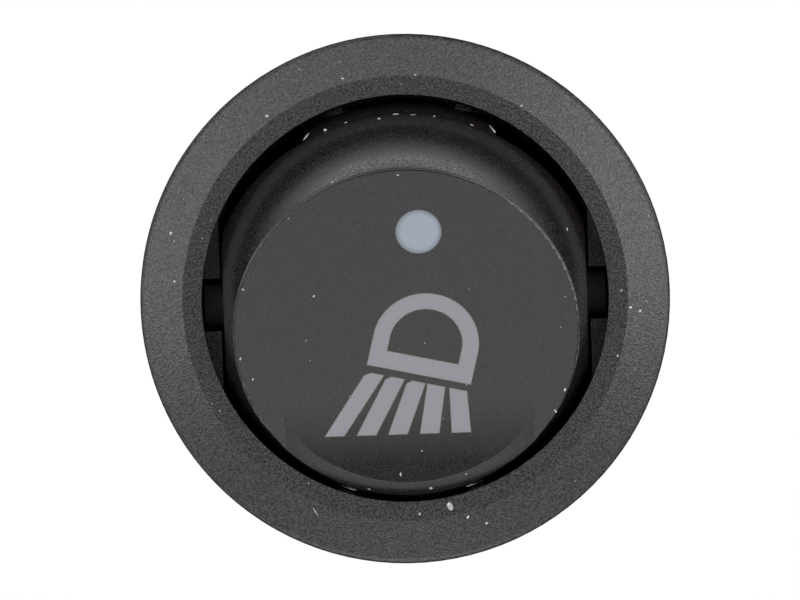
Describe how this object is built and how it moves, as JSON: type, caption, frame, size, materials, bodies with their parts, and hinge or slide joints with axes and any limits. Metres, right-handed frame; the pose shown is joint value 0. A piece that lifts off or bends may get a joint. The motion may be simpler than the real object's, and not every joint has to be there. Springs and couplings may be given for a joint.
{
  "type": "panel rocker switch",
  "caption": "Round snap-in panel rocker switch, tilted black rocker with white indicator lens and lamp symbol, blade terminals behind.",
  "frame": {"origin": "centre of the bezel's seat on the panel, on the barrel's axis", "axes": "+Z out of the panel towards the user, +Y towards the indicator end of the rocker, +X along the rocker's pivot"},
  "size_m": [0.023, 0.023, 0.0268],
  "materials": {
    "housing_nylon": "spark-eroded black nylon",
    "base_nylon": "plain moulded black nylon",
    "rocker_coat": "satin black coated polycarbonate",
    "lens_milky": "milky translucent polycarbonate",
    "acetal": "natural acetal",
    "spring_steel": "drawn wire",
    "copper_strip": "stamped copper alloy",
    "silver_contact": "silver alloy",
    "brass_terminal": "stamped brass",
    "tinned_brass": "tin-plated brass",
    "board_laminate": "green solder mask",
    "lamp_package": "white lamp package with clear fill",
    "chip_ceramic": "glazed chip part"
  },
  "bodies": {
    "body": {"housing": "housing_nylon", "base": "base_nylon", "fixed_contact": "silver_contact", "supply_terminal": "brass_terminal", "load_terminal": "brass_terminal", "earth_terminal": "tinned_brass", "lamp_terminal": "tinned_brass", "circuit_board": "board_laminate", "board_link": "tinned_brass", "indicator_led": "lamp_package", "symbol_led": "lamp_package", "indicator_resistor": "chip_ceramic", "symbol_resistor": "chip_ceramic", "protection_diode": "chip_ceramic"},
    "rocker": {"rocker": "rocker_coat", "indicator_lens": "lens_milky", "plunger_spring": "spring_steel"},
    "plunger": {"plunger": "acetal"},
    "contact_lever": {"contact_lever": "copper_strip", "moving_contact": "silver_contact"}
  },
  "joints": [
    {"name": "rocker_pivot", "type": "hinge", "parent": "body", "child": "rocker", "pos_m": [0, 0, -0.00109], "axis": [-1, 0, 0], "range_deg": [0, 41]},
    {"name": "plunger_slide", "type": "slide", "parent": "rocker", "child": "plunger", "axis": [0, -0.3502, 0.9367], "range_m": [0, 0.0008], "stiffness_N_per_m": 900, "springref_m": -0.002, "deforming": ["plunger_spring"]},
    {"name": "lever_pivot", "type": "hinge", "parent": "body", "child": "contact_lever", "pos_m": [0, 0, -0.00779], "axis": [1, 0, 0], "range_deg": [0, 20]}
  ],
  "couplings": [
    {"joint": "lever_pivot", "follows": "rocker_pivot", "ratio": 0.4878}
  ]
}
